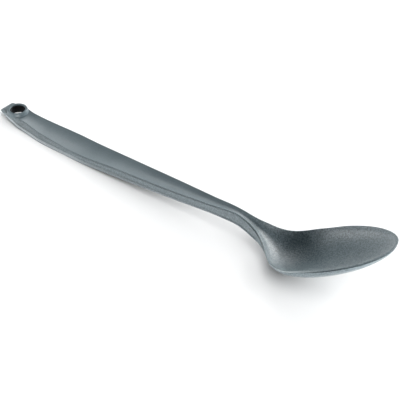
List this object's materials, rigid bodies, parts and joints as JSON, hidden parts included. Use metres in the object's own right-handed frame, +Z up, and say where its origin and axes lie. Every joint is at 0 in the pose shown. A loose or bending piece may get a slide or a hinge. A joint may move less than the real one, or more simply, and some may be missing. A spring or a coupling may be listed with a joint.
{
  "type": "long spoon",
  "caption": "Long serving spoon with a deep tilted bowl, a tapering trough-topped handle with grained sides, and a raised hanging eyelet in its squared tail.",
  "frame": {"origin": "centre of the spoon's bounding box, on the table that the pad under the handle and the heel of the bowl rest on", "axes": "+X from the tail towards the tip of the bowl, +Y across, +Z up out of the open bowl"},
  "size_m": [0.254, 0.0412, 0.0395],
  "materials": {
    "satin_plastic": "satin slate grey moulding, with a fine grain inside the bowl",
    "grained_plastic": "slate grey moulding with a stippled grain",
    "collar_plastic": "satin slate grey moulding",
    "liner_plastic": "near-black with a slight sheen"
  },
  "bodies": {
    "root": {"spoon_blade": "satin_plastic", "handle_back": "grained_plastic", "hanging_eyelet": "collar_plastic", "eyelet_liner": "liner_plastic"}
  },
  "joints": []
}
